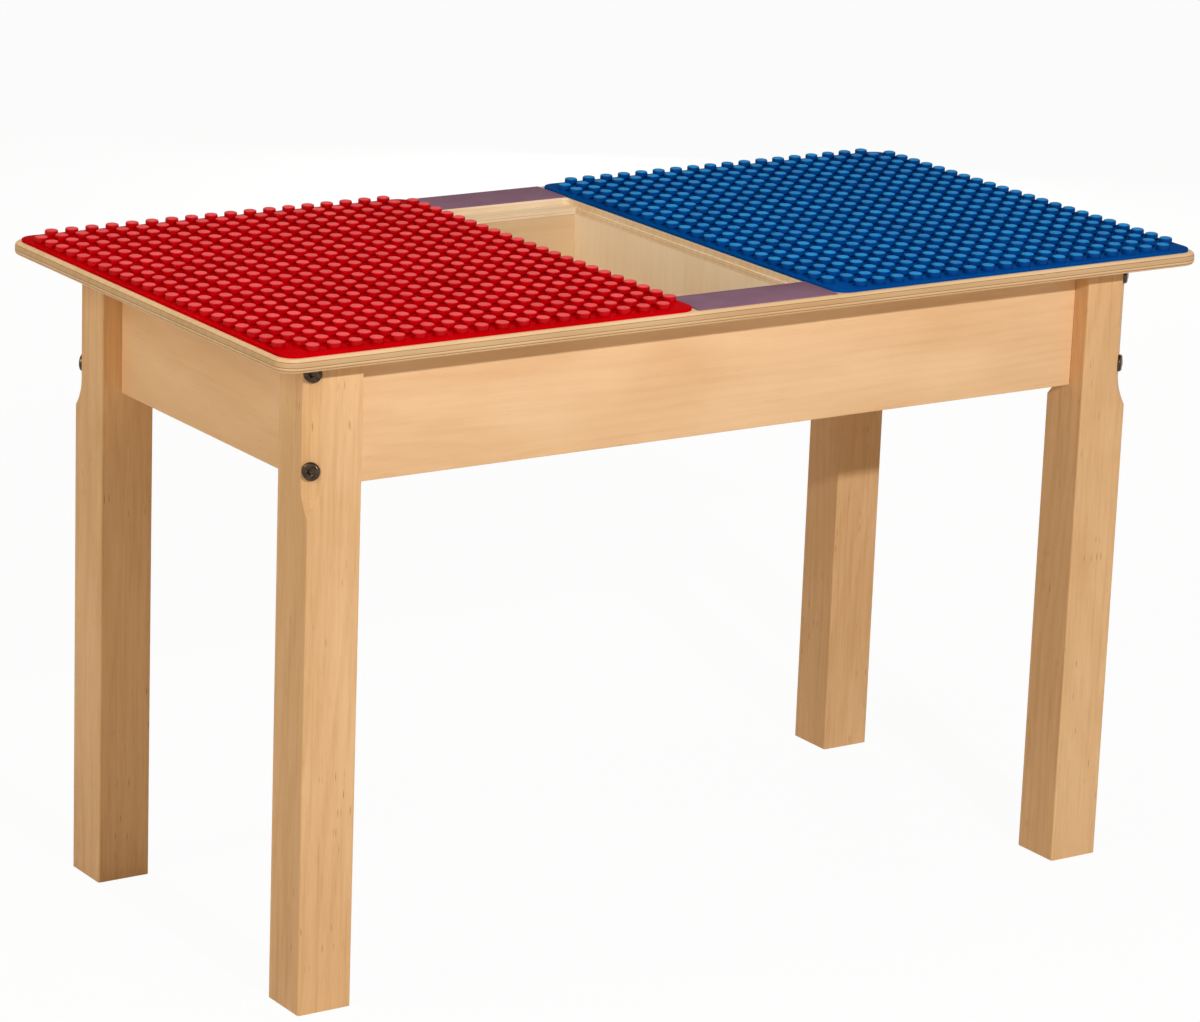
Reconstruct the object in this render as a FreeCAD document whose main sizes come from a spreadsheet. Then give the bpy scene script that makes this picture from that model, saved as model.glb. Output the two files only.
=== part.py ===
import FreeCAD, Part
import math
import os
import re
import Sketcher

# Play table with two stud plates and an open storage well between them.
# Millimetres, +Z up, floor at z = 0, +X along the table's length, -Y towards the front.

doc = FreeCAD.newDocument("PlayTable")

# Driving sizes: cell name, value, what it is
SIZES = [
    ("table_height", 462, "floor to the upper face of the top"),
    ("top_length", 759, "top along X"),
    ("top_width", 389, "top along Y"),
    ("top_thickness", 9.5, "plywood top"),
    ("top_corner_radius", 14, "plan radius of the top's corners"),
    ("top_edge_radius", 3.2, "rounding of the top's upper and lower rim"),
    ("stud_pitch", 15.875, "distance between studs"),
    ("studs_along", 20, "studs of a plate along X"),
    ("studs_deep", 24, "studs of a plate along Y"),
    ("stud_diameter", 9.4, "stud"),
    ("stud_height", 4.5, "stud above the plate's sheet"),
    ("plate_thickness", 2, "plate's sheet"),
    ("plate_corner_radius", 12, "plan radius of a plate's corners"),
    ("plate_gap", 116, "between the two plates, the opening's width"),
    ("strip_thickness", 0.8, "plum strip"),
    ("strip_clearance", 0.5, "strip to plates and to the opening"),
    ("opening_radius", 5, "inner corners of the opening"),
    ("leg_side", 40.5, "square section of a leg"),
    ("leg_edge_radius", 1.5, "leg's eased arrises"),
    ("end_overhang", 37.5, "top past the legs at the ends"),
    ("side_overhang", 30.5, "top past the legs at front and back"),
    ("leg_flat", 9.6, "outer corner flat, measured along a leg face"),
    ("leg_inner_cut", 11.7, "inner corner cut, measured along a leg face"),
    ("cutter_radius", 38, "curve in which both corner cuts run out"),
    ("flat_below_bolt", 10, "outer flat's straight part below the lower bolt"),
    ("inner_cut_stop", 11, "inner cut's straight part ends this far above the apron's lower edge"),
    ("apron_height", 91, "apron board"),
    ("apron_thickness", 12, "apron board"),
    ("apron_setback", 15, "apron behind the legs' outer faces"),
    ("bolt_diameter", 6, "leg bolt"),
    ("bolt_clearance", 0.3, "radial room round the bolt in wood and washer"),
    ("bolt_head_diameter", 12.6, "leg bolt head"),
    ("bolt_head_height", 3, "leg bolt head"),
    ("bolt_head_bevel", 1.4, "bevel round the head"),
    ("bolt_socket", 4, "hexagon socket across flats"),
    ("bolt_socket_depth", 2.2, "hexagon socket"),
    ("bolt_proud", 2, "bolt end past the nut"),
    ("upper_bolt_drop", 10.5, "upper bolt below the top's underside"),
    ("bolt_spacing", 65.5, "between the two bolts of a leg"),
    ("washer_diameter", 14, "washer"),
    ("washer_thickness", 1.6, "washer"),
    ("nut_width", 10, "nut across flats"),
    ("nut_height", 5, "nut"),
    ("thread_clearance", 0.05, "radial room between bolt and nut"),
    ("brace_thickness", 18, "corner brace through the bolt's direction"),
    ("brace_margin", 0.5, "corner brace inside the apron's upper and lower edge"),
    ("brace_screw_inset", 13, "brace screw from the leg's inner face"),
    ("brace_screw_grip", 8, "brace wood under the screw head"),
    ("brace_screw_spacing", 30, "between the brace's two rows of screws"),
    ("screw_diameter", 4, "wood screw"),
    ("screw_head_diameter", 8, "wood screw head"),
    ("screw_head_height", 2.4, "wood screw head"),
    ("screw_tip", 4, "wood screw's cone"),
    ("screw_clearance", 0.1, "radial room round a screw"),
    ("screw_head_clearance", 0.5, "radial room round a sunk screw head"),
    ("screw_hole_extra", 0.5, "blind hole past the screw's tip"),
    ("apron_screw_depth", 9, "screw thread inside an apron"),
    ("top_screw_depth", 6, "screw thread inside the top"),
    ("floor_screw_depth", 16, "screw thread inside a well wall"),
    ("well_lip", 1.5, "ledge at the opening's left and right"),
    ("well_end_lip", 14, "ledge at the opening's front and back"),
    ("ledge_drop", 4.8, "ledge below the top's upper face"),
    ("well_wall_thickness", 12, "left and right wall of the well"),
    ("well_floor_thickness", 6, "floor of the well"),
    ("well_floor_rise", 4, "underside of the floor above the apron's lower edge"),
    ("groove_depth", 4, "groove in the aprons for the well walls"),
    ("groove_clearance", 0.1, "room on each side in the groove"),
    ("floor_clearance", 0.2, "well floor to the aprons"),
    ("floor_screw_spacing", 110, "between the floor's screws"),
    ("cleat_side", 16, "square section of a cleat"),
    ("cleat_gap", 8, "cleat's ends to wall and brace"),
    ("cleat_screw_spacing", 70, "between a cleat's screws into the top"),
]

sheet = doc.addObject("Spreadsheet::Sheet", "Sizes")
for row, (alias, value, note) in enumerate(SIZES, start=1):
    sheet.set(f"A{row}", note)
    sheet.set(f"B{row}", str(value))
    sheet.setAlias(f"B{row}", alias)
doc.recompute()
ALIASES = {alias for alias, value, note in SIZES}

# Places worked out from the driving sizes
LEG_X = "(top_length / 2 - end_overhang)"
LEG_Y = "(top_width / 2 - side_overhang)"
UNDERSIDE = "(table_height - top_thickness)"
APRON_LOW = f"({UNDERSIDE} - apron_height)"
APRON_IN = "(apron_setback + apron_thickness)"
PLATE_LONG = "(stud_pitch * studs_along)"
PLATE_DEEP = "(stud_pitch * studs_deep)"
WELL_Y = f"({LEG_Y} - {APRON_IN})"
OPENING_Y = f"({WELL_Y} + well_end_lip)"
UPPER_BOLT = f"({UNDERSIDE} - upper_bolt_drop)"
LOWER_BOLT = f"({UPPER_BOLT} - bolt_spacing)"
FLAT_X = "((leg_side - leg_flat) / sqrt(2))"
INNER_X = "((leg_inner_cut - leg_side) / sqrt(2))"
FLAT_STOP = f"({LOWER_BOLT} - flat_below_bolt)"
INNER_STOP = f"({APRON_LOW} + inner_cut_stop)"
BRACE_LOW = f"({APRON_LOW} + brace_margin)"
BRACE_MID = f"({APRON_LOW} + apron_height / 2)"
BRACE_BACK = "(leg_side - leg_inner_cut / 2 + brace_thickness / sqrt(2))"
SCREW_P = "(leg_side + brace_screw_inset)"
SCREW_Q = f"({APRON_IN} + brace_screw_grip)"
BOLT_LENGTH = (f"({FLAT_X} - {INNER_X} + brace_thickness + washer_thickness"
               " + nut_height + bolt_proud)")
WELL_IN = "(plate_gap / 2 - well_lip)"
WELL_OUT = f"({WELL_IN} + well_wall_thickness)"
FLOOR_LOW = f"({APRON_LOW} + well_floor_rise)"
FLOOR_TOP = f"({FLOOR_LOW} + well_floor_thickness)"
CLEAT_IN = f"({WELL_OUT} + cleat_gap)"
CLEAT_OUT = (f"({LEG_X} - 2 * leg_side + leg_inner_cut - brace_thickness * sqrt(2)"
             f" + {APRON_IN} - cleat_gap)")
CLEAT_MID = f"(({CLEAT_IN} + {CLEAT_OUT}) / 2)"

CORNERS = {
    "front_left": (-1, -1),
    "front_right": (1, -1),
    "back_left": (-1, 1),
    "back_right": (1, 1),
}
UP = FreeCAD.Vector(0, 0, 1)
NODES = []


def formula(text):
    """Turns size names into references to the sheet's cells."""
    def cell(word):
        return f"Sizes.{word[0]}" if word[0] in ALIASES else word[0]
    return re.sub(r"[a-z_]+", cell, str(text))


def bind(obj, prop, text):
    obj.setExpression(prop, formula(text))


def seat(obj, x, y, z, turn=None):
    """Places an object, with its axis turned first where a rotation is given."""
    if turn is not None:
        obj.Placement = FreeCAD.Placement(FreeCAD.Vector(0, 0, 0), turn)
    for letter, text in zip("xyz", (x, y, z)):
        bind(obj, f"Placement.Base.{letter}", text)
    return obj


def towards(x, y, z):
    """Rotation that points an object's own Z axis along a direction."""
    return FreeCAD.Rotation(UP, FreeCAD.Vector(x, y, z))


def box(name, length, width, height, x, y, z, turn=None):
    solid = doc.addObject("Part::Box", name)
    bind(solid, "Length", length)
    bind(solid, "Width", width)
    bind(solid, "Height", height)
    return seat(solid, x, y, z, turn)


def rod(name, radius, height, x, y, z, turn=None):
    solid = doc.addObject("Part::Cylinder", name)
    bind(solid, "Radius", radius)
    bind(solid, "Height", height)
    return seat(solid, x, y, z, turn)


def cone(name, low, high, height, x, y, z):
    solid = doc.addObject("Part::Cone", name)
    bind(solid, "Radius1", low)
    bind(solid, "Radius2", high)
    bind(solid, "Height", height)
    return seat(solid, x, y, z)


def hexagon(name, across, height, x, y, z):
    solid = doc.addObject("Part::Prism", name)
    solid.Polygon = 6
    bind(solid, "Circumradius", f"({across}) / sqrt(3)")
    bind(solid, "Height", height)
    return seat(solid, x, y, z)


def join(name, solids):
    fused = doc.addObject("Part::MultiFuse", name)
    fused.Shapes = solids
    return fused


def cut(name, base, tools):
    result = doc.addObject("Part::Cut", name)
    result.Base = base
    result.Tool = tools[0] if len(tools) == 1 else join(name + "_tools", tools)
    return result


def round_edges(name, base, alias, chosen):
    """Rounds the edges that the test picks, with a radius from the sheet."""
    doc.recompute()
    radius = float(sheet.get(alias))
    fillet = doc.addObject("Part::Fillet", name)
    fillet.Base = base
    picked = [i for i, edge in enumerate(base.Shape.Edges, start=1) if chosen(edge)]
    fillet.Edges = [(i, radius, radius) for i in picked]
    return fillet


def upright(edge):
    ends = edge.Vertexes
    return len(ends) == 2 and abs(ends[0].Z - ends[1].Z) > 0.5 * edge.Length


def level(edge):
    return not upright(edge)


def node(obj, name):
    obj.Label = name
    NODES.append((name, obj))
    return obj


def copies(name, master, seats):
    """One node holding separate copies of a fastener."""
    links = []
    for i, (x, y, z, turn) in enumerate(seats, start=1):
        link = doc.addObject("App::Link", f"{name}_{i}")
        link.LinkedObject = master
        links.append(seat(link, x, y, z, turn))
    group = doc.addObject("Part::Compound", name)
    group.Links = links
    return node(group, name)


def corner_seat(obj, sx, sy):
    """Moves a piece from the corner's own frame, whose +X points out along the diagonal."""
    turn = FreeCAD.Rotation(UP, math.degrees(math.atan2(sy, sx)))
    return seat(obj, f"{sx} * ({LEG_X} - leg_side / 2)", f"{sy} * ({LEG_Y} - leg_side / 2)", "0", turn)


# Table top with its opening, the ledge round it, and the blind holes for the cleats' screws
blank = box("top_blank", "top_length", "top_width", "top_thickness",
            "-top_length / 2", "-top_width / 2", UNDERSIDE)
cornered = round_edges("top_cornered", blank, "top_corner_radius", upright)
rimmed = round_edges("top_rimmed", cornered, "top_edge_radius", level)
recess = box("recess_blank", "plate_gap", f"2 * {OPENING_Y}", "2 * ledge_drop",
             "-plate_gap / 2", f"-{OPENING_Y}", "table_height - ledge_drop")
hole = box("opening_hole", f"2 * {WELL_IN}", f"2 * {WELL_Y}", "3 * top_thickness",
           f"-{WELL_IN}", f"-{WELL_Y}", f"{UNDERSIDE} - top_thickness")
top_tools = [round_edges("recess_tool", recess, "opening_radius", upright), hole]
CLEAT_Y = f"({LEG_Y} - {APRON_IN} - cleat_side / 2)"
top_screw_seats = []
for sx in (-1, 1):
    for sy in (-1, 1):
        for step in (-1, 0, 1):
            x = f"{sx} * {CLEAT_MID} + {step} * cleat_screw_spacing"
            y = f"{sy} * {CLEAT_Y}"
            top_screw_seats.append((x, y, f"{UNDERSIDE} - cleat_side", towards(0, 0, -1)))
            top_tools.append(rod("top_pilot", "screw_diameter / 2 + screw_clearance",
                                 "top_screw_depth + screw_hole_extra", x, y, UNDERSIDE))
node(cut("table_top", rimmed, top_tools), "table_top")

# Stud plate: a thin sheet with a grid of studs
plate = doc.addObject("PartDesign::Body", "stud_plate")
planes = {feature.Role: feature for feature in plate.Origin.OriginFeatures}


def plate_sketch(name):
    sketch = plate.newObject("Sketcher::SketchObject", name)
    sketch.AttachmentSupport = [(planes["XY_Plane"], "")]
    sketch.MapMode = "FlatFace"
    return sketch


outline = plate_sketch("plate_outline")
spots = [FreeCAD.Vector(x, y, 0) for x, y in ((-150, -190), (150, -190), (150, 190), (-150, 190))]
for i in range(4):
    outline.addGeometry(Part.LineSegment(spots[i], spots[(i + 1) % 4]), False)
for i in range(4):
    outline.addConstraint(Sketcher.Constraint("Coincident", i, 2, (i + 1) % 4, 1))
    outline.addConstraint(Sketcher.Constraint("Horizontal" if i % 2 == 0 else "Vertical", i))
outline.addConstraint(Sketcher.Constraint("Symmetric", 0, 1, 2, 1, -1, 1))
for i, name, text in ((0, "long_side", PLATE_LONG), (1, "deep_side", PLATE_DEEP)):
    index = outline.addConstraint(Sketcher.Constraint("Distance", i, 300))
    outline.renameConstraint(index, name)
    bind(outline, f"Constraints.{name}", text)
sheet_pad = plate.newObject("PartDesign::Pad", "plate_sheet")
sheet_pad.Profile = outline
bind(sheet_pad, "Length", "plate_thickness")
doc.recompute()
rounding = plate.newObject("PartDesign::Fillet", "plate_corners")
rounding.Base = (sheet_pad, [f"Edge{i}" for i, edge in enumerate(sheet_pad.Shape.Edges, start=1)
                             if upright(edge)])
bind(rounding, "Radius", "plate_corner_radius")
stud_circle = plate_sketch("stud_circle")
stud_circle.addGeometry(Part.Circle(FreeCAD.Vector(-150, -180, 0), UP, 4), False)
for kind, name, text in (("DistanceX", "to_left", f"({PLATE_LONG} - stud_pitch) / 2"),
                         ("DistanceY", "to_front", f"({PLATE_DEEP} - stud_pitch) / 2")):
    index = stud_circle.addConstraint(Sketcher.Constraint(kind, 0, 3, -1, 1, 150))
    stud_circle.renameConstraint(index, name)
    bind(stud_circle, f"Constraints.{name}", text)
index = stud_circle.addConstraint(Sketcher.Constraint("Diameter", 0, 8))
stud_circle.renameConstraint(index, "across")
bind(stud_circle, "Constraints.across", "stud_diameter")
stud_pad = plate.newObject("PartDesign::Pad", "first_stud")
stud_pad.Profile = stud_circle
bind(stud_pad, "Length", "plate_thickness + stud_height")
grid = plate.newObject("PartDesign::MultiTransform", "stud_grid")
grid.Originals = [stud_pad]
rows = []
for name, axis, count in (("stud_row", "H_Axis", "studs_along"), ("stud_column", "V_Axis", "studs_deep")):
    row = plate.newObject("PartDesign::LinearPattern", name)
    row.Direction = (stud_circle, [axis])
    row.Mode = "Spacing"
    bind(row, "Offset", "stud_pitch")
    bind(row, "Occurrences", count)
    rows.append(row)
grid.Transformations = rows
plate.Tip = grid

# The plates' four corners have no stud
corner_gaps = []
for sx, sy in CORNERS.values():
    corner_gaps.append(box("corner_gap", "stud_pitch", "stud_pitch", "2 * stud_height",
                           f"{sx} * ({PLATE_LONG} - stud_pitch) / 2 - stud_pitch / 2",
                           f"{sy} * ({PLATE_DEEP} - stud_pitch) / 2 - stud_pitch / 2", "plate_thickness"))
cornered_plate = cut("cornered_plate", plate, corner_gaps)
PLATE_X = f"(plate_gap / 2 + {PLATE_LONG} / 2)"
copies("red_stud_plate", cornered_plate, [(f"-{PLATE_X}", "0", "table_height", FreeCAD.Rotation())])
copies("blue_stud_plate", cornered_plate, [(PLATE_X, "0", "table_height", FreeCAD.Rotation())])

# Plum strips in front of and behind the opening
STRIP_Y = f"({PLATE_DEEP} / 2 - {OPENING_Y} - strip_clearance)"
for name, y in (("front_trim_strip", f"-{PLATE_DEEP} / 2"),
                ("back_trim_strip", f"{OPENING_Y} + strip_clearance")):
    node(box(name, "plate_gap - 2 * strip_clearance", STRIP_Y, "strip_thickness",
             "-plate_gap / 2 + strip_clearance", y, "table_height"), name)

# Legs and corner braces, built in the corner's own frame
ALONG_X = towards(1, 0, 0)
ALONG_Y = towards(0, 1, 0)
for corner, (sx, sy) in CORNERS.items():
    post = box("leg_post", "leg_side", "leg_side", UNDERSIDE, "0", "-leg_side / sqrt(2)", "0",
               FreeCAD.Rotation(UP, 45))
    eased = round_edges("leg_eased", post, "leg_edge_radius", upright)
    bores = [rod("bolt_bore", "bolt_diameter / 2 + bolt_clearance", "4 * leg_side",
                 "-2 * leg_side", "0", z, ALONG_X) for z in (UPPER_BOLT, LOWER_BOLT)]
    leg_tools = [
        box("flat_run", "cutter_radius", "2 * leg_side", f"{UNDERSIDE} - {FLAT_STOP}",
            FLAT_X, "-leg_side", FLAT_STOP),
        rod("flat_end", "cutter_radius", "2 * leg_side",
            f"{FLAT_X} + cutter_radius", "-leg_side", FLAT_STOP, ALONG_Y),
        box("inner_run", "cutter_radius", "2 * leg_side", f"{UNDERSIDE} - {INNER_STOP}",
            f"{INNER_X} - cutter_radius", "-leg_side", INNER_STOP),
        rod("inner_end", "cutter_radius", "2 * leg_side",
            f"{INNER_X} - cutter_radius", "-leg_side", INNER_STOP, ALONG_Y),
    ]
    leg = cut(f"{corner}_leg", eased, leg_tools + bores)
    node(corner_seat(leg, sx, sy), f"{corner}_leg")

    slab = box("brace_slab", "brace_thickness", "6 * leg_side", "apron_height - 2 * brace_margin",
               f"{INNER_X} - brace_thickness", "-3 * leg_side", BRACE_LOW)
    room = box("brace_room", "leg_side + 2 * brace_thickness", "leg_side + 2 * brace_thickness",
               UNDERSIDE, f"(leg_side - 2 * {APRON_IN}) / sqrt(2)", "0", "0",
               FreeCAD.Rotation(UP, 135))
    wedge = doc.addObject("Part::Common", "brace_wedge")
    wedge.Base = slab
    wedge.Tool = room
    brace_tools = [rod("brace_bore", "bolt_diameter / 2 + bolt_clearance", "4 * leg_side",
                       "-3 * leg_side", "0", z, ALONG_X) for z in (UPPER_BOLT, LOWER_BOLT)]
    for side in (-1, 1):
        x = f"(leg_side - {SCREW_P} - {SCREW_Q}) / sqrt(2)"
        y = f"{side} * ({SCREW_P} - {SCREW_Q}) / sqrt(2)"
        for step in (-1, 1):
            z = f"{BRACE_MID} + {step} * brace_screw_spacing / 2"
            brace_tools.append(rod("brace_hole", "screw_diameter / 2 + screw_clearance",
                                   "2 * brace_screw_grip", x, y, z, towards(1, side, 0)))
            brace_tools.append(rod("brace_sink", "screw_head_diameter / 2 + screw_head_clearance",
                                   "2 * brace_thickness", x, y, z, towards(-1, -side, 0)))
    brace = cut(f"{corner}_brace", wedge, brace_tools)
    node(corner_seat(brace, sx, sy), f"{corner}_brace")

# Aprons, with grooves for the well's walls and blind holes for the screws
PILOT = "screw_diameter / 2 + screw_clearance"
PILOT_DEPTH = "apron_screw_depth + screw_hole_extra"
brace_rows = [f"{BRACE_MID} + {step} * brace_screw_spacing / 2" for step in (-1, 1)]
CLEAT_SIDE_Z = f"({UNDERSIDE} - cleat_side / 2)"
side_screw_spots = [f"{sx} * {CLEAT_MID} + {step} * cleat_screw_spacing / 2"
                    for sx in (-1, 1) for step in (-1, 1)]
side_screw_seats = []
for name, sy in (("front_apron", -1), ("back_apron", 1)):
    face = f"{sy} * ({LEG_Y} - {APRON_IN})"
    board = box(name + "_board", f"2 * ({LEG_X} - leg_side)", "apron_thickness", "apron_height",
                f"leg_side - {LEG_X}",
                f"apron_setback - {LEG_Y}" if sy < 0 else f"{LEG_Y} - {APRON_IN}", APRON_LOW)
    tools = []
    for sx in (-1, 1):
        tools.append(box("wall_groove", "well_wall_thickness + 2 * groove_clearance", "2 * groove_depth",
                         f"{UNDERSIDE} - {FLOOR_TOP}",
                         f"{sx} * ({WELL_IN} + {WELL_OUT}) / 2 - well_wall_thickness / 2 - groove_clearance",
                         f"{face} - groove_depth", FLOOR_TOP))
        for z in brace_rows:
            tools.append(rod("brace_pilot", PILOT, PILOT_DEPTH, f"{sx} * ({LEG_X} - {SCREW_P})",
                             face, z, towards(0, sy, 0)))
    for x in side_screw_spots:
        tools.append(rod("cleat_pilot", PILOT, PILOT_DEPTH, x, face, CLEAT_SIDE_Z, towards(0, sy, 0)))
        side_screw_seats.append((x, f"{sy} * ({LEG_Y} - {APRON_IN} - cleat_side)", CLEAT_SIDE_Z,
                                 towards(0, -sy, 0)))
    node(cut(name, board, tools), name)
for name, sx in (("left_apron", -1), ("right_apron", 1)):
    face = f"{sx} * ({LEG_X} - {APRON_IN})"
    board = box(name + "_board", "apron_thickness", f"2 * ({LEG_Y} - leg_side)", "apron_height",
                f"apron_setback - {LEG_X}" if sx < 0 else f"{LEG_X} - {APRON_IN}",
                f"leg_side - {LEG_Y}", APRON_LOW)
    tools = [rod("brace_pilot", PILOT, PILOT_DEPTH, face, f"{sy} * ({LEG_Y} - {SCREW_P})", z,
                 towards(sx, 0, 0)) for sy in (-1, 1) for z in brace_rows]
    node(cut(name, board, tools), name)

# Storage well: two walls housed in the long aprons, and a floor screwed up into them
floor_tools = []
floor_screw_seats = []
for name, sx in (("well_left_wall", -1), ("well_right_wall", 1)):
    wall = box(name + "_board", "well_wall_thickness",
               f"2 * ({LEG_Y} - {APRON_IN} + groove_depth)", f"{UNDERSIDE} - {FLOOR_TOP}",
               f"-{WELL_OUT}" if sx < 0 else WELL_IN, f"-({LEG_Y} - {APRON_IN} + groove_depth)", FLOOR_TOP)
    x = f"{sx} * ({WELL_IN} + {WELL_OUT}) / 2"
    tools = []
    for step in (-1, 0, 1):
        y = f"{step} * floor_screw_spacing"
        tools.append(rod("wall_pilot", PILOT, "floor_screw_depth + screw_hole_extra", x, y, FLOOR_TOP))
        floor_tools.append(rod("floor_hole", PILOT, "2 * well_floor_thickness", x, y,
                               f"{FLOOR_LOW} - well_floor_thickness / 2"))
        floor_screw_seats.append((x, y, FLOOR_LOW, towards(0, 0, -1)))
    node(cut(name, wall, tools), name)
FLOOR_Y = f"({LEG_Y} - {APRON_IN} - floor_clearance)"
floor_board = box("well_floor_board", f"2 * {WELL_OUT}", f"2 * {FLOOR_Y}", "well_floor_thickness",
                  f"-{WELL_OUT}", f"-{FLOOR_Y}", FLOOR_LOW)
node(cut("well_floor", floor_board, floor_tools), "well_floor")

# Cleats under the top along the long aprons
for corner, (sx, sy) in CORNERS.items():
    name = f"{corner}_cleat"
    strip = box(name + "_strip", f"{CLEAT_OUT} - {CLEAT_IN}", "cleat_side", "cleat_side",
                f"-{CLEAT_OUT}" if sx < 0 else CLEAT_IN,
                f"{APRON_IN} - {LEG_Y}" if sy < 0 else f"{LEG_Y} - {APRON_IN} - cleat_side",
                f"{UNDERSIDE} - cleat_side")
    tools = [rod("cleat_hole", PILOT, "2 * cleat_side", f"{sx} * {CLEAT_MID} + {step} * cleat_screw_spacing",
                 f"{sy} * {CLEAT_Y}", f"{UNDERSIDE} - 1.5 * cleat_side") for step in (-1, 0, 1)]
    tools += [rod("cleat_side_hole", PILOT, "2 * cleat_side",
                  f"{sx} * {CLEAT_MID} + {step} * cleat_screw_spacing / 2",
                  f"{sy} * {CLEAT_Y} - cleat_side", CLEAT_SIDE_Z, ALONG_Y) for step in (-1, 1)]
    node(cut(name, strip, tools), name)

# Leg bolts, washers and nuts
bolt_body = join("bolt_body", [
    rod("bolt_head", "bolt_head_diameter / 2", "bolt_head_height - bolt_head_bevel", "0", "0", "0"),
    cone("bolt_bevel", "bolt_head_diameter / 2", "bolt_head_diameter / 2 - bolt_head_bevel",
         "bolt_head_bevel", "0", "0", "bolt_head_height - bolt_head_bevel"),
    rod("bolt_shank", "bolt_diameter / 2", BOLT_LENGTH, "0", "0", f"-{BOLT_LENGTH}"),
])
socket = hexagon("bolt_socket", "bolt_socket", "2 * bolt_socket_depth",
                 "0", "0", "bolt_head_height - bolt_socket_depth")
bolt = cut("leg_bolt", bolt_body, [socket])
washer = cut("leg_washer", rod("washer_disc", "washer_diameter / 2", "washer_thickness", "0", "0", "0"),
             [rod("washer_bore", "bolt_diameter / 2 + bolt_clearance", "4 * washer_thickness",
                  "0", "0", "-2 * washer_thickness")])
nut = cut("leg_nut", hexagon("nut_hexagon", "nut_width", "nut_height", "0", "0", "0"),
          [rod("nut_bore", "bolt_diameter / 2 + thread_clearance", "4 * nut_height",
               "0", "0", "-2 * nut_height")])
bolt_seats, washer_seats, nut_seats = [], [], []
for sx, sy in CORNERS.values():
    for z in (UPPER_BOLT, LOWER_BOLT):
        for seats, depth, way in ((bolt_seats, "leg_flat / 2", 1), (washer_seats, BRACE_BACK, -1),
                                  (nut_seats, f"{BRACE_BACK} + washer_thickness / sqrt(2)", -1)):
            seats.append((f"{sx} * ({LEG_X} - ({depth}))",
                          f"{sy} * ({LEG_Y} - ({depth}))", z, towards(way * sx, way * sy, 0)))
copies("leg_bolts", bolt, bolt_seats)
copies("leg_washers", washer, washer_seats)
copies("leg_nuts", nut, nut_seats)


# Wood screws: head above the seat, thread below it
def wood_screw(name, length):
    return join(name, [
        rod(name + "_head", "screw_head_diameter / 2", "screw_head_height", "0", "0", "0"),
        rod(name + "_shank", "screw_diameter / 2", f"{length} - screw_tip", "0", "0",
            f"screw_tip - ({length})"),
        cone(name + "_tip", "screw_diameter / 10", "screw_diameter / 2", "screw_tip", "0", "0",
             f"-({length})"),
    ])


brace_screw_seats = []
for sx, sy in CORNERS.values():
    for z in brace_rows:
        brace_screw_seats.append((f"{sx} * ({LEG_X} - {SCREW_P})", f"{sy} * ({LEG_Y} - {SCREW_Q})", z,
                                  towards(0, -sy, 0)))
        brace_screw_seats.append((f"{sx} * ({LEG_X} - {SCREW_Q})", f"{sy} * ({LEG_Y} - {SCREW_P})", z,
                                  towards(-sx, 0, 0)))
copies("brace_screws", wood_screw("brace_screw", "brace_screw_grip + apron_screw_depth"), brace_screw_seats)
copies("top_screws", wood_screw("top_screw", "cleat_side + top_screw_depth"), top_screw_seats)
copies("cleat_screws", wood_screw("cleat_screw", "cleat_side + apron_screw_depth"), side_screw_seats)
copies("well_floor_screws", wood_screw("floor_screw", "well_floor_thickness + floor_screw_depth"),
       floor_screw_seats)

doc.recompute()
for obj in doc.Objects:
    if "Invalid" in obj.State or "Error" in obj.State:
        raise RuntimeError(f"{obj.Label} did not compute: {obj.State}")
os.makedirs("parts", exist_ok=True)
for name, obj in NODES:
    if obj.Shape.isNull() or not obj.Shape.isValid():
        raise RuntimeError(f"{name} has no valid shape")
    obj.Shape.exportStep(f"parts/{name}.step")
print(len(NODES), "nodes written")
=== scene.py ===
import bmesh
import bpy
import math
from mathutils import Matrix, Vector


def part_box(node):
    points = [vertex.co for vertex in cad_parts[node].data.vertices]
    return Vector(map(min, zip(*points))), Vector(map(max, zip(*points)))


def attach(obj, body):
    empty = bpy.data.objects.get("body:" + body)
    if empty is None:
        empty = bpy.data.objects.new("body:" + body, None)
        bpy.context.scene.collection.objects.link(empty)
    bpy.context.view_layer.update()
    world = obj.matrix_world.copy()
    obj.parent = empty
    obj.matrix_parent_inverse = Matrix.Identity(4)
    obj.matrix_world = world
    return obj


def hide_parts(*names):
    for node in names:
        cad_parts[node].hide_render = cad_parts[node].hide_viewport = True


# Looks of a wooden play table: plywood top with two stud plates, aprons, bolted legs and a storage well.
# Metres, in the CAD frame: floor at z = 0, +X along the table, -Y towards the front.

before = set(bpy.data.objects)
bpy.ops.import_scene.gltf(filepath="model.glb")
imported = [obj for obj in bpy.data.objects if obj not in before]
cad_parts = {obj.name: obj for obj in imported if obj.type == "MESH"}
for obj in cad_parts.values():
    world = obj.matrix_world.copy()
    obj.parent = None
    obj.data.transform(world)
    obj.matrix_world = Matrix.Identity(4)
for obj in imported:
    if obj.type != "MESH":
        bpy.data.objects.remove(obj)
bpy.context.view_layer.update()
scene = bpy.context.scene
scene.view_settings.view_transform = "Standard"

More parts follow.
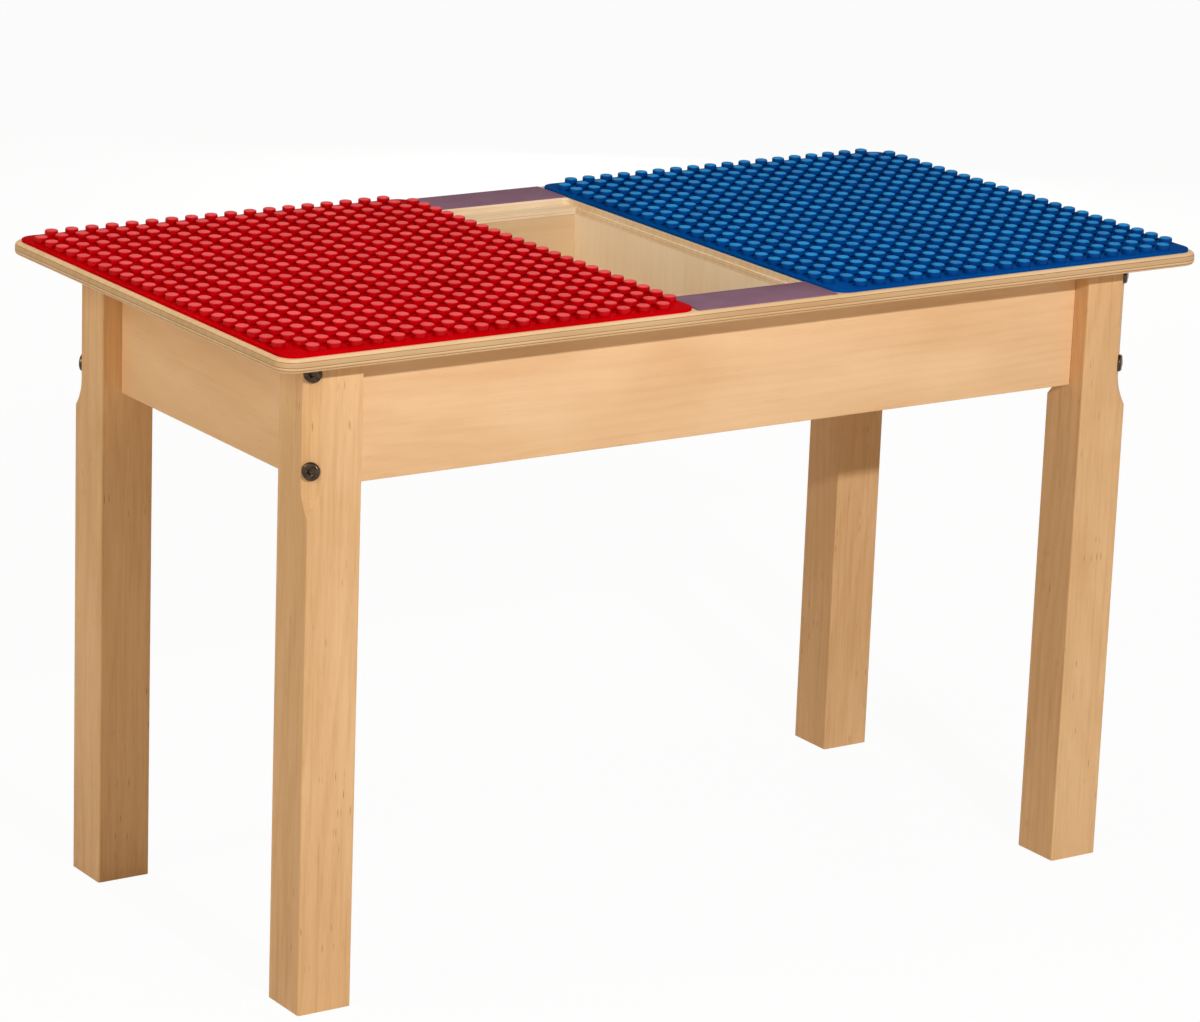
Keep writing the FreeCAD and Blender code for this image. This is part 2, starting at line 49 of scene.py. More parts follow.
# Sizes of the finished pieces that the frame's boxes do not give
MM = 0.001
TOP_CORNER = 14 * MM
TOP_ROUNDING = 3.2 * MM
OPENING_CORNER = 5 * MM
OPENING_EASING = 0.6 * MM
HOLE_CORNER = 0.4 * MM
LEDGE_DROP = 4.8 * MM
LEDGE_EASING = 0.5 * MM
STUD_PITCH = 15.875 * MM
STUD_RADIUS = 4.7 * MM
STUD_HEIGHT = 4.5 * MM
STUD_ROUNDING = 1.0 * MM
STUDS_ALONG = 20
STUDS_DEEP = 24
PLATE_CORNER = 12 * MM
PLATE_EASING = 0.5 * MM
STRIP_CORNER = 0.6 * MM
STRIP_EASING = 0.25 * MM
STRIP_MARGIN = 0.5 * MM
APRON_EASING = 0.9 * MM
LEG_FLAT = 9.6 * MM
HEAD_RADIUS = 6.3 * MM
HEAD_HEIGHT = 3 * MM
HEAD_RIM = 1.2 * MM
HEAD_FLAT = 4.2 * MM
HEAD_CROWN = 0.2 * MM
HEAD_FOOT_INSET = 0.2 * MM
HEAD_FOOT_HEIGHT = 0.15 * MM
SOCKET_ACROSS = 4 * MM
SOCKET_DEPTH = 2.2 * MM
SOCKET_MARGIN = 0.8 * MM
SOCKET_BEVEL = 0.4 * MM
SHANK_RADIUS = 3 * MM
SHANK_LENGTH = 68.8 * MM

# Steps of the rounded shapes
CORNER_STEPS = 8
RIM_STEPS = 6
STUD_SIDES = 18
BOLT_SIDES = 24
SHOULDER_STEPS = 8
SHOULDER_SWEEP = 80

# Zones round the table's middle, as half sizes along X and Y
WELL_ZONE = (58 * MM, 138 * MM)
OPENING_ZONE = (58.4 * MM, 151.4 * MM)
ZONE_BLUR = 0.4 * MM

TOP_LOW, TOP_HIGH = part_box("table_top")
STUD_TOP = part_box("red_stud_plate")[1].z
SHEET_TOP = STUD_TOP - STUD_HEIGHT
LEGS = ("front_left_leg", "front_right_leg", "back_left_leg", "back_right_leg")
BRACES = tuple(leg.replace("leg", "brace") for leg in LEGS)
CLEATS = tuple(leg.replace("leg", "cleat") for leg in LEGS)


# Node building blocks, for shaders and for Geometry Nodes

def new_tree(name, kind, inputs, outputs):
    """A node group with named sockets; returns the tree, its two ends and its inputs' identifiers."""
    tree = bpy.data.node_groups.new(name, kind)
    keys = {}
    for label, content in inputs:
        socket = tree.interface.new_socket(label, in_out="INPUT", socket_type="NodeSocket" + content)
        keys[label] = socket.identifier
    for label, content in outputs:
        tree.interface.new_socket(label, in_out="OUTPUT", socket_type="NodeSocket" + content)
    return tree, tree.nodes.new("NodeGroupInput"), tree.nodes.new("NodeGroupOutput"), keys


def add(tree, kind, **values):
    """A node whose properties are set by name."""
    made = tree.nodes.new(kind)
    for key, value in values.items():
        setattr(made, key, value)
    return made


def wire(tree, value, target):
    """Links an input to another node's output, or sets it to a plain value."""
    if isinstance(value, bpy.types.NodeSocket):
        tree.links.new(value, target)
    else:
        target.default_value = value


def fill(tree, node, values):
    """Wires several inputs of a node by name."""
    for label, value in values.items():
        wire(tree, value, node.inputs[label])


def vector_math(tree, operation, vector, other=None):
    made = add(tree, "ShaderNodeVectorMath", operation=operation)
    wire(tree, vector, made.inputs[0])
    if other is not None:
        wire(tree, other, made.inputs[1])
    return made.outputs[0]


def scaled(tree, vector, scale):
    """The vector stretched along each axis."""
    return vector_math(tree, "MULTIPLY", vector, scale)


def axes(tree, vector):
    split = add(tree, "ShaderNodeSeparateXYZ")
    wire(tree, vector, split.inputs[0])
    return tuple(split.outputs)


def math_node(tree, operation, a, b=None, clamp=False):
    made = add(tree, "ShaderNodeMath", operation=operation, use_clamp=clamp)
    wire(tree, a, made.inputs[0])
    if b is not None:
        wire(tree, b, made.inputs[1])
    return made.outputs[0]


def product(tree, first, *others):
    for other in others:
        first = math_node(tree, "MULTIPLY", first, other)
    return first


def noise(tree, place, stretch, detail=3.0, roughness=0.5, output="Fac"):
    """Noise over a place; stretch is one number, or one for each axis."""
    even = isinstance(stretch, float)
    made = add(tree, "ShaderNodeTexNoise")
    fill(tree, made, {"Vector": place if even else scaled(tree, place, stretch),
                      "Scale": stretch if even else 1.0, "Detail": detail, "Roughness": roughness})
    return made.outputs[output]


def scatter(tree, place, stretch, channel=0):
    """Distance to the nearest of many scattered points, and a number that each point draws."""
    made = add(tree, "ShaderNodeTexVoronoi", feature="F1")
    fill(tree, made, {"Vector": scaled(tree, place, stretch), "Scale": 1.0})
    draw = add(tree, "ShaderNodeSeparateColor")
    wire(tree, made.outputs["Color"], draw.inputs[0])
    return made.outputs["Distance"], draw.outputs[channel]


def band(tree, value, low, high, out_low=0.0, out_high=1.0):
    """A smooth step of a value between two levels."""
    made = add(tree, "ShaderNodeMapRange", interpolation_type="SMOOTHSTEP")
    fill(tree, made, {"Value": value, "From Min": low, "From Max": high,
                      "To Min": out_low, "To Max": out_high})
    return made.outputs["Result"]


def mixed(tree, factor, first, second, blend="MIX"):
    """Colour mix; each colour is a socket or a tuple."""
    made = add(tree, "ShaderNodeMix", data_type="RGBA", blend_type=blend)
    colours = [socket for socket in made.inputs if socket.type == "RGBA"]
    for socket, value in zip([made.inputs[0]] + colours, (factor, first, second)):
        wire(tree, value, socket)
    return [socket for socket in made.outputs if socket.type == "RGBA"][0]


def multiplied(tree, first, second):
    """Two colours multiplied."""
    return mixed(tree, 1.0, first, second, "MULTIPLY")


def colour(r, g, b):
    """Linear colour from the usual 0 to 255 values."""
    def linear(v):
        v = v / 255
        return v / 12.92 if v <= 0.04045 else ((v + 0.055) / 1.055) ** 2.4
    return (linear(r), linear(g), linear(b), 1.0)


def grey(level):
    return (level, level, level, 1.0)


def inside_zone(tree, place, half_x, half_y):
    """1 within the two distances from the table's middle, 0 beyond them."""
    x, y, _ = axes(tree, place)
    along = band(tree, math_node(tree, "ABSOLUTE", x), half_x + ZONE_BLUR, half_x)
    deep = band(tree, math_node(tree, "ABSOLUTE", y), half_y + ZONE_BLUR, half_y)
    return product(tree, along, deep)


def new_material(name):
    """A material, its tree and shader, and the place on the object."""
    made = bpy.data.materials.new(name)
    made.use_nodes = True
    tree = made.node_tree
    place = add(tree, "ShaderNodeTexCoord").outputs["Object"]
    return made, tree, tree.nodes["Principled BSDF"], place


def add_bump(tree, shader, height, strength, distance):
    bump = add(tree, "ShaderNodeBump")
    fill(tree, bump, {"Strength": strength, "Distance": distance, "Height": height})
    wire(tree, bump.outputs["Normal"], shader.inputs["Normal"])


# Layers of the wood figure, in cycles per metre: along the grain, and twice across it
RING_BEND = (2.2, 9.0, 9.0)
CLOUDS = (7.0, 22.0, 22.0)
FIBRES = (45.0, 1500.0, 1500.0)
STREAKS = (9.0, 330.0, 330.0)
DASHES = (75.0, 620.0, 620.0)
DASH_PATCHES = (14.0, 30.0, 30.0)
KNOTS = (11.0, 16.0, 16.0)
RING_SWAY = (0.0, 0.075, 0.075)
RING_SCALE = 34.0
CLOUD_SHARE = 0.5


# Wood figure shared by all the boards: grain runs along the vector's X axis
def make_wood_figure():
    tree, given, result, _ = new_tree(
        "wood_figure", "ShaderNodeTree",
        (("Vector", "Vector"), ("Light", "Color"), ("Dark", "Color"), ("Fleck", "Color"),
         ("Figure", "Float"), ("Grain", "Float"), ("Flecks", "Float"), ("Knots", "Float")),
        (("Color", "Color"), ("Roughness", "Float"), ("Height", "Float")))
    place = given.outputs["Vector"]
    # Slow bend of the growth rings along the board
    bent = add(tree, "ShaderNodeVectorMath", operation="MULTIPLY_ADD")
    bend = noise(tree, place, RING_BEND, 2.0, output="Color")
    for socket, value in zip(bent.inputs, (bend, RING_SWAY, place)):
        wire(tree, value, socket)
    rings = add(tree, "ShaderNodeTexWave", wave_type="RINGS", rings_direction="X", wave_profile="SIN")
    fill(tree, rings, {"Vector": scaled(tree, bent.outputs[0], (0.0, 1.0, 1.0)), "Scale": RING_SCALE,
                       "Distortion": 1.6, "Detail": 2.0, "Detail Scale": 14.0})
    figure = band(tree, rings.outputs["Fac"], 0.35, 1.0)
    # Cloudy patches and fine fibres
    cloud = band(tree, noise(tree, place, CLOUDS), 0.3, 0.7)
    fibre = noise(tree, place, FIBRES, roughness=0.6)
    streak = noise(tree, place, STREAKS, 2.0)
    grain = math_node(tree, "ADD", product(tree, band(tree, fibre, 0.45, 0.75), 0.5),
                      product(tree, band(tree, streak, 0.45, 0.8), 0.5))
    depth = math_node(tree, "ADD", product(tree, figure, given.outputs["Figure"]),
                      product(tree, cloud, CLOUD_SHARE))
    depth = math_node(tree, "ADD", depth, product(tree, grain, given.outputs["Grain"]), clamp=True)
    # Short dark dashes in patches
    distance, chance = scatter(tree, place, DASHES)
    patch = noise(tree, place, DASH_PATCHES, 2.0)
    spot = product(tree, band(tree, distance, 0.34, 0.12), band(tree, chance, 0.8, 0.9),
                   band(tree, patch, 0.45, 0.62), given.outputs["Flecks"])
    # Small faint knots, far apart
    distance, chance = scatter(tree, place, KNOTS)
    eye = product(tree, band(tree, distance, 0.075, 0.02), band(tree, chance, 0.5, 0.56),
                  given.outputs["Knots"])
    tint = mixed(tree, depth, given.outputs["Light"], given.outputs["Dark"])
    tint = mixed(tree, math_node(tree, "MAXIMUM", spot, eye), tint, given.outputs["Fleck"])
    relief = math_node(tree, "SUBTRACT", 1.0, math_node(tree, "MAXIMUM", grain, spot))
    fill(tree, result, {"Color": tint, "Roughness": band(tree, fibre, 0.2, 0.8, 0.38, 0.52), "Height": relief})
    return tree


WOOD_FIGURE = make_wood_figure()


def add_figure(tree, place, tints, figure, grain, flecks, knots):
    """The wood figure inside a material; tints are its light, dark and fleck colours."""
    light, dark, fleck = tints
    wood = add(tree, "ShaderNodeGroup", node_tree=WOOD_FIGURE)
    fill(tree, wood, {"Vector": place, "Light": light, "Dark": dark, "Fleck": fleck, "Figure": figure,
                      "Grain": grain, "Flecks": flecks, "Knots": knots})
    return wood.outputs


def lacquer(tree, shader, tint, wood, relief):
    """Satin lacquer on a tint, with the figure's roughness and relief."""
    fill(tree, shader, {"Base Color": tint, "Roughness": wood["Roughness"], "Specular IOR Level": 0.2})
    add_bump(tree, shader, wood["Height"], relief, 0.15 * MM)


# Darker, duller tint for faces inside the well: a painted shade
WELL_SHADE_TINT = (0.77, 0.83, 0.855, 1.0)


def wood_material(name, turn, heart, tints, figure, grain, flecks, knots=0.0, well_shade_zone=None):
    """Lacquered board; turn brings the board's length onto X, heart is where the rings' centre lies."""
    made, tree, shader, place = new_material(name)
    mapping = add(tree, "ShaderNodeMapping", vector_type="POINT")
    fill(tree, mapping, {"Vector": place, "Rotation": turn, "Location": heart})
    wood = add_figure(tree, mapping.outputs["Vector"], tints, figure, grain, flecks, knots)
    tint = wood["Color"]
    if well_shade_zone is not None:
        # Faces inside the well are painted darker and duller: a painted shade
        well_shade = inside_zone(tree, place, *well_shade_zone)
        tint = mixed(tree, well_shade, tint, multiplied(tree, tint, WELL_SHADE_TINT))
    lacquer(tree, shader, tint, wood, 0.25)
    return made


ALONG_X = (0.0, 0.0, 0.0)
ALONG_Y = (0.0, 0.0, math.radians(-90))
ALONG_Z = (0.0, math.radians(90), 0.0)
MAPLE_TINTS = (colour(243, 203, 157), colour(220, 172, 119), colour(160, 108, 62))
LEG_TINTS = (colour(237, 194, 143), colour(212, 164, 111), colour(156, 102, 58))
WELL_TINTS = (colour(254, 239, 213), colour(246, 225, 193), colour(200, 162, 116))
INNER_TINTS = (colour(232, 194, 146), colour(206, 162, 112), colour(120, 80, 46))

maple_long = wood_material("maple_long_boards", ALONG_X, (0.3, 0.1, -0.33), MAPLE_TINTS,
                           figure=0.09, grain=0.22, flecks=0.15, knots=0.35, well_shade_zone=WELL_ZONE)
maple_end = wood_material("maple_end_boards", ALONG_Y, (1.7, 0.2, -0.36), MAPLE_TINTS,
                          figure=0.1, grain=0.28, flecks=0.15, knots=0.25)
maple_leg = wood_material("maple_legs", ALONG_Z, (0.9, 0.4, 0.2), LEG_TINTS,
                          figure=0.15, grain=0.7, flecks=0.65)
well_wood = wood_material("well_boards", ALONG_Z, (2.2, 0.3, 0.1), WELL_TINTS,
                          figure=0.1, grain=0.8, flecks=0.15)
inner_wood = wood_material("inner_boards", ALONG_X, (3.1, 0.2, 0.5), INNER_TINTS,
                           figure=0.4, grain=0.5, flecks=0.5)


PLY_PALE = colour(236, 201, 156)
PLY_WARM = colour(214, 178, 134)
PLY_GLUE = colour(164, 122, 78)
# Paler tone for the opening's edge: a painted light
PLY_OPENING_LIGHT = colour(255, 238, 208)
PLY_VOID = colour(84, 54, 30)
PLY_FIGURE_TINTS = (colour(255, 255, 255), colour(236, 226, 212), colour(170, 130, 96))
PLY_WANDER = 0.5 * MM
OPENING_LIGHT_SHARE = 0.65
# Height through the board, from its lower face at 0 to its upper face at 1, and the ply's tint there
PLY_STOPS = (
    (0.0, PLY_WARM), (0.07, PLY_PALE), (0.16, PLY_PALE), (0.185, PLY_GLUE), (0.215, PLY_GLUE),
    (0.24, PLY_WARM), (0.29, PLY_WARM), (0.31, PLY_PALE), (0.385, PLY_PALE), (0.41, PLY_GLUE),
    (0.44, PLY_GLUE), (0.465, PLY_WARM), (0.76, PLY_WARM), (0.78, PLY_GLUE), (0.805, PLY_GLUE),
    (0.825, PLY_PALE), (1.0, PLY_PALE))


# Plywood: plies stacked in Z, seen as lines round the rim and in the opening
def make_plywood():
    made, tree, shader, place = new_material("birch_plywood")
    _, _, z = axes(tree, place)
    wander = math_node(tree, "SUBTRACT", noise(tree, place, (14.0, 14.0, 4.0)), 0.5)
    height = math_node(tree, "SUBTRACT", z, TOP_LOW.z)
    height = math_node(tree, "ADD", height, product(tree, wander, PLY_WANDER))
    level = math_node(tree, "DIVIDE", height, TOP_HIGH.z - TOP_LOW.z)
    plies = add(tree, "ShaderNodeValToRGB")
    ramp = plies.color_ramp
    ramp.interpolation = "LINEAR"
    while len(ramp.elements) < len(PLY_STOPS):
        ramp.elements.new(0.5)
    for element, (position, tint) in zip(ramp.elements, PLY_STOPS):
        element.position = position
        element.color = tint
    wire(tree, level, plies.inputs["Fac"])
    wood = add_figure(tree, vector_math(tree, "ADD", place, (0.5, 0.3, -0.42)), PLY_FIGURE_TINTS,
                      figure=0.2, grain=0.5, flecks=0.3, knots=0.0)
    tint = multiplied(tree, plies.outputs["Color"], wood["Color"])
    # The opening's edge is painted paler than the rim: a painted light
    opening_light = product(tree, inside_zone(tree, place, *OPENING_ZONE), OPENING_LIGHT_SHARE)
    tint = mixed(tree, opening_light, tint, multiplied(tree, PLY_OPENING_LIGHT, wood["Color"]))
    # Small voids in the inner plies
    distance, chance = scatter(tree, place, (34.0, 34.0, 420.0), channel=1)
    hole = product(tree, band(tree, distance, 0.3, 0.18), band(tree, chance, 0.93, 0.95),
                   band(tree, level, 0.12, 0.2), band(tree, level, 0.9, 0.82))
    tint = mixed(tree, hole, tint, PLY_VOID)
    lacquer(tree, shader, tint, wood, 0.2)
    return made


birch_plywood = make_plywood()


# Darkening of the stud sides: a painted shade between the studs
FLANK_PAINTED_SHADE = grey(0.82)
SHEET_GLOSS = 0.02


# Moulded plastic of the stud plates
def make_plastic(name, node, body, bright, top_highlight, gloss):
    """Gloss plastic; its stud tops are painted paler as a painted highlight, and its stud sides darker as
    painted shade.
    """
    made, tree, shader, place = new_material(name)
    low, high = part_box(node)
    _, _, z = axes(tree, place)
    cloud = noise(tree, place, 22.0)
    skin = noise(tree, place, 700.0, 2.0)
    tint = mixed(tree, band(tree, cloud, 0.3, 0.7), body, bright)
    # Painted shade: the studs are darkened above the sheet, which shows on their sides
    flank = band(tree, z, SHEET_TOP + 0.1 * MM, SHEET_TOP + 0.6 * MM)
    tint = mixed(tree, flank, tint, multiplied(tree, tint, FLANK_PAINTED_SHADE))
    # The painted highlight on the stud tops changes slowly in strength from stud to stud
    away = vector_math(tree, "ADD", place, -(low + high) / 2)
    cell = vector_math(tree, "FLOOR", scaled(tree, away, (1 / STUD_PITCH, 1 / STUD_PITCH, 0.0)))
    highlight_variation = noise(tree, cell, 0.37, 2.0, 0.6)
    # Painted highlight: the stud tops are mixed towards the given pale colour
    highlit_tops = product(tree, band(tree, z, STUD_TOP - 0.8 * MM, STUD_TOP - 0.2 * MM),
                     band(tree, skin, 0.2, 0.7, 0.75, 1.0), band(tree, highlight_variation, 0.3, 0.7, 0.62, 1.0))
    tint = mixed(tree, highlit_tops, tint, top_highlight)
    coat = band(tree, z, SHEET_TOP + 0.3 * MM, SHEET_TOP + 2 * MM, SHEET_GLOSS, gloss)
    fill(tree, shader, {"Base Color": tint, "Roughness": band(tree, cloud, 0.25, 0.75, 0.16, 0.26),
                        "Specular IOR Level": 0.0, "Coat Weight": coat, "Coat Roughness": 0.1})
    add_bump(tree, shader, skin, 0.12, 0.12 * MM)
    return made


# The pale colour given for each plate's stud tops is a painted highlight
red_plastic = make_plastic("red_plastic", "red_stud_plate", body=colour(192, 0, 6), bright=colour(208, 0, 10),
                           top_highlight=colour(255, 84, 86), gloss=0.2)
blue_plastic = make_plastic("blue_plastic", "blue_stud_plate", body=colour(0, 68, 142),
                            bright=colour(0, 78, 156), top_highlight=colour(16, 156, 230), gloss=0.12)


# Plum laminate of the trim strips
def make_laminate():
    made, tree, shader, place = new_material("plum_laminate")
    speck = noise(tree, place, 900.0, 2.0)
    cloud = noise(tree, place, 30.0)
    tint = mixed(tree, band(tree, cloud, 0.3, 0.7), colour(133, 99, 120), colour(141, 107, 128))
    tint = mixed(tree, band(tree, speck, 0.62, 0.75, 0.0, 0.35), tint, colour(114, 83, 102))
    fill(tree, shader, {"Base Color": tint, "Roughness": band(tree, speck, 0.3, 0.7, 0.4, 0.52),
                        "Specular IOR Level": 0.0, "Coat Weight": 0.08, "Coat Roughness": 0.35})
    add_bump(tree, shader, speck, 0.1, 0.05 * MM)
    return made


plum_laminate = make_laminate()


# Metals: dark bronze bolts and zinc plated hardware
def make_metal(name, dark, bright, smooth, rough, patina_scale):
    made, tree, shader, place = new_material(name)
    patina = noise(tree, place, patina_scale, 4.0, 0.6)
    fill(tree, shader, {"Base Color": mixed(tree, band(tree, patina, 0.35, 0.7), dark, bright),
                        "Roughness": band(tree, patina, 0.3, 0.7, rough, smooth), "Metallic": 1.0})
    add_bump(tree, shader, patina, 0.1, 0.08 * MM)
    return made


dark_bronze = make_metal("dark_bronze", colour(58, 47, 38), colour(92, 76, 60),
                         smooth=0.2, rough=0.27, patina_scale=420.0)
zinc_steel = make_metal("zinc_steel", colour(176, 176, 172), colour(204, 204, 198),
                        smooth=0.3, rough=0.45, patina_scale=300.0)


# Mesh building blocks

def finish_piece(name, mesh, material, slot, *nodes):
    """Links a mesh as a piece that rides on the table and stands for its CAD nodes."""
    piece = bpy.data.objects.new(name, mesh)
    scene.collection.objects.link(piece)
    mesh.materials.clear()
    mesh.materials.append(material)
    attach(piece, "root")
    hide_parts(*nodes)
    return piece


def rounded_rectangle(half_x, half_y, radius):
    """Plan points of a rectangle with round corners, anticlockwise."""
    points = []
    for quarter, (sx, sy) in enumerate(((1, 1), (-1, 1), (-1, -1), (1, -1))):
        for step in range(CORNER_STEPS + 1):
            angle = math.radians(90 * (quarter + step / CORNER_STEPS))
            points.append((sx * (half_x - radius) + radius * math.cos(angle),
                           sy * (half_y - radius) + radius * math.sin(angle)))
    return points


def ring(bm, centre, half_x, half_y, radius, z):
    points = rounded_rectangle(half_x, half_y, radius)
    return [bm.verts.new((centre.x + x, centre.y + y, z)) for x, y in points]


def join_rings(bm, first, second):
    """Quads between two rings of the same count."""
    count = len(first)
    for i in range(count):
        bm.faces.new((first[i], first[(i + 1) % count], second[(i + 1) % count], second[i]))


def close_stack(bm, rings):
    """Joins a stack of rings, and closes its upper and lower end."""
    for first, second in zip(rings, rings[1:]):
        join_rings(bm, first, second)
    bm.faces.new(rings[-1])
    bm.faces.new(list(reversed(rings[0])))


def mesh_from(bm, name, sharp_angle):
    bmesh.ops.recalc_face_normals(bm, faces=bm.faces)
    mesh = bpy.data.meshes.new(name)
    bm.to_mesh(mesh)
    bm.free()
    mesh.polygons.foreach_set("use_smooth", [True] * len(mesh.polygons))
    mesh.set_sharp_from_angle(angle=math.radians(sharp_angle))
    return mesh


def weight_normals(piece):
    """Keeps broad flat faces flat beside their eased edges."""
    modifier = piece.modifiers.new("even_shading", "WEIGHTED_NORMAL")
    modifier.keep_sharp = True
    modifier.weight = 100


def lifted(tree, geometry, z):
    """Geometry moved up."""
    height = add(tree, "ShaderNodeCombineXYZ")
    wire(tree, z, height.inputs["Z"])
    moved = add(tree, "GeometryNodeTransform")
    fill(tree, moved, {"Geometry": geometry, "Translation": height.outputs[0]})
    return moved.outputs["Geometry"]


def end_tree(tree, geometry, given, result):
    """Makes instances real, sets the given material, and hands the geometry out."""
    real = add(tree, "GeometryNodeRealizeInstances")
    wire(tree, geometry, real.inputs["Geometry"])
    painted = add(tree, "GeometryNodeSetMaterial")
    fill(tree, painted, {"Geometry": real.outputs["Geometry"], "Material": given.outputs["Material"]})
    wire(tree, painted.outputs["Geometry"], result.inputs[0])


def sent_through(tree, keys, name, mesh, values):
    """The mesh that a Geometry Nodes tree makes of another one."""
    base = bpy.data.objects.new(name, mesh)
    scene.collection.objects.link(base)
    modifier = base.modifiers.new("shape", "NODES")
    modifier.node_group = tree
    for label, value in values.items():
        modifier[keys[label]] = value
    view = bpy.context.evaluated_depsgraph_get()
    made = bpy.data.meshes.new_from_object(base.evaluated_get(view))
    bpy.data.objects.remove(base)
    return made


# Table top: rounded rim, round corners, and an opening with eased edges
def make_top():
    bm = bmesh.new()
    middle = (TOP_LOW + TOP_HIGH) / 2
    half = (TOP_HIGH - TOP_LOW) / 2
    outer = []
    for high in (False, True):
        for step in range(RIM_STEPS + 1):
            angle = math.radians(90 * step / RIM_STEPS)
            if high:
                inset, z = 1 - math.cos(angle), TOP_HIGH.z - TOP_ROUNDING * (1 - math.sin(angle))
            else:
                inset, z = 1 - math.sin(angle), TOP_LOW.z + TOP_ROUNDING * (1 - math.cos(angle))
            inset *= TOP_ROUNDING
            outer.append(ring(bm, middle, half.x - inset, half.y - inset, TOP_CORNER - inset, z))
    # The opening's edge steps in on a ledge, and goes on down flush with the well
    open_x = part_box("blue_stud_plate")[0].x
    open_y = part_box("back_trim_strip")[0].y - STRIP_MARGIN
    hole_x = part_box("well_right_wall")[0].x
    hole_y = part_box("back_apron")[0].y
    ledge = TOP_HIGH.z - LEDGE_DROP
    inner = []
    for x, y, corner, easing, upper, lower in (
            (open_x, open_y, OPENING_CORNER, OPENING_EASING, TOP_HIGH.z, ledge),
            (hole_x, hole_y, HOLE_CORNER, LEDGE_EASING, ledge, TOP_LOW.z)):
        for outset, z in ((easing, upper), (0.3 * easing, upper - 0.3 * easing), (0.0, upper - easing),
                          (0.0, lower)):
            inner.append(ring(bm, middle, x + outset, y + outset, corner + outset, z))
    loop = outer + inner
    for first, second in zip(loop, loop[1:] + loop[:1]):
        join_rings(bm, first, second)
    mesh = mesh_from(bm, "plywood_top", 50)
    piece = finish_piece("plywood_top", mesh, birch_plywood, "birch_plywood", "table_top")
    weight_normals(piece)


make_top()


# Stud plates: a Geometry Nodes tree sets the studs on the sheet, leaving the four corners free
def make_stud_tree():
    tree, given, result, keys = new_tree(
        "stud_plate", "GeometryNodeTree",
        (("Sheet", "Geometry"), ("Studs Along", "Int"), ("Studs Deep", "Int"), ("Pitch", "Float"),
         ("Radius", "Float"), ("Height", "Float"), ("Rounding", "Float"), ("Centre", "Vector"),
         ("Material", "Material")),
        (("Plate", "Geometry"),))

    def value(operation, a, b=None):
        return math_node(tree, operation, a, b)

    # One stud: straight side, two steps of rounding at 45 degrees from each other, flat cap
    radius, height, rounding = (given.outputs[label] for label in ("Radius", "Height", "Rounding"))
    small = value("MULTIPLY", rounding, 0.29)
    large = value("MULTIPLY", rounding, 0.71)
    waist = value("SUBTRACT", radius, small)
    cap_radius = value("SUBTRACT", radius, rounding)
    straight = value("SUBTRACT", height, rounding)
    stud = add(tree, "GeometryNodeJoinGeometry")
    for low, high, depth, lift in ((radius, radius, straight, None), (radius, waist, large, straight),
                                   (waist, cap_radius, small, value("ADD", straight, large))):
        cone = add(tree, "GeometryNodeMeshCone", fill_type="NONE")
        fill(tree, cone, {"Vertices": STUD_SIDES, "Radius Top": high, "Radius Bottom": low, "Depth": depth})
        smooth = add(tree, "GeometryNodeSetShadeSmooth")
        wire(tree, cone.outputs["Mesh"], smooth.inputs["Geometry"])
        part = smooth.outputs["Geometry"]
        wire(tree, part if lift is None else lifted(tree, part, lift), stud.inputs[0])
    cap = add(tree, "GeometryNodeMeshCircle", fill_type="NGON")
    fill(tree, cap, {"Vertices": STUD_SIDES, "Radius": cap_radius})
    flat = add(tree, "GeometryNodeSetShadeSmooth")
    fill(tree, flat, {"Geometry": cap.outputs["Mesh"], "Shade Smooth": False})
    wire(tree, lifted(tree, flat.outputs["Geometry"], height), stud.inputs[0])
    merged = add(tree, "GeometryNodeMergeByDistance")
    fill(tree, merged, {"Geometry": stud.outputs[0], "Distance": 0.02 * MM})

    # The grid of places, without its four corners
    grid = add(tree, "GeometryNodeMeshGrid")
    place = axes(tree, add(tree, "GeometryNodeInputPosition").outputs[0])
    at_end = []
    for label, side, spot in (("Studs Along", "X", place[0]), ("Studs Deep", "Y", place[1])):
        count = given.outputs[label]
        span = value("MULTIPLY", value("SUBTRACT", count, 1.0), given.outputs["Pitch"])
        fill(tree, grid, {"Size " + side: span, "Vertices " + side: count})
        rest = value("SUBTRACT", value("MULTIPLY", span, 0.5), value("ABSOLUTE", spot))
        at_end.append(value("LESS_THAN", rest, 0.1 * MM))
    free = add(tree, "GeometryNodeDeleteGeometry", domain="POINT")
    fill(tree, free, {"Geometry": grid.outputs["Mesh"], "Selection": product(tree, *at_end)})
    placed = add(tree, "GeometryNodeTransform")
    fill(tree, placed, {"Geometry": free.outputs["Geometry"], "Translation": given.outputs["Centre"]})
    studs = add(tree, "GeometryNodeInstanceOnPoints")
    fill(tree, studs, {"Points": placed.outputs["Geometry"], "Instance": merged.outputs["Geometry"]})
    joined = add(tree, "GeometryNodeJoinGeometry")
    wire(tree, studs.outputs["Instances"], joined.inputs[0])
    wire(tree, given.outputs["Sheet"], joined.inputs[0])
    end_tree(tree, joined.outputs[0], given, result)
    return tree, keys


STUD_TREE, STUD_KEYS = make_stud_tree()


def slab_mesh(name, low, high, corner, easing):
    """A thin sheet with round plan corners and an eased upper edge."""
    bm = bmesh.new()
    middle = (low + high) / 2
    half = (high - low) / 2
    rings = [ring(bm, middle, half.x, half.y, corner, low.z)]
    for share in (0.0, 0.5, 1.0):
        angle = math.radians(90 * share)
        inset = easing * (1 - math.cos(angle))
        rings.append(ring(bm, middle, half.x - inset, half.y - inset, corner - inset,
                          high.z - easing * (1 - math.sin(angle))))
    close_stack(bm, rings)
    return mesh_from(bm, name, 50)


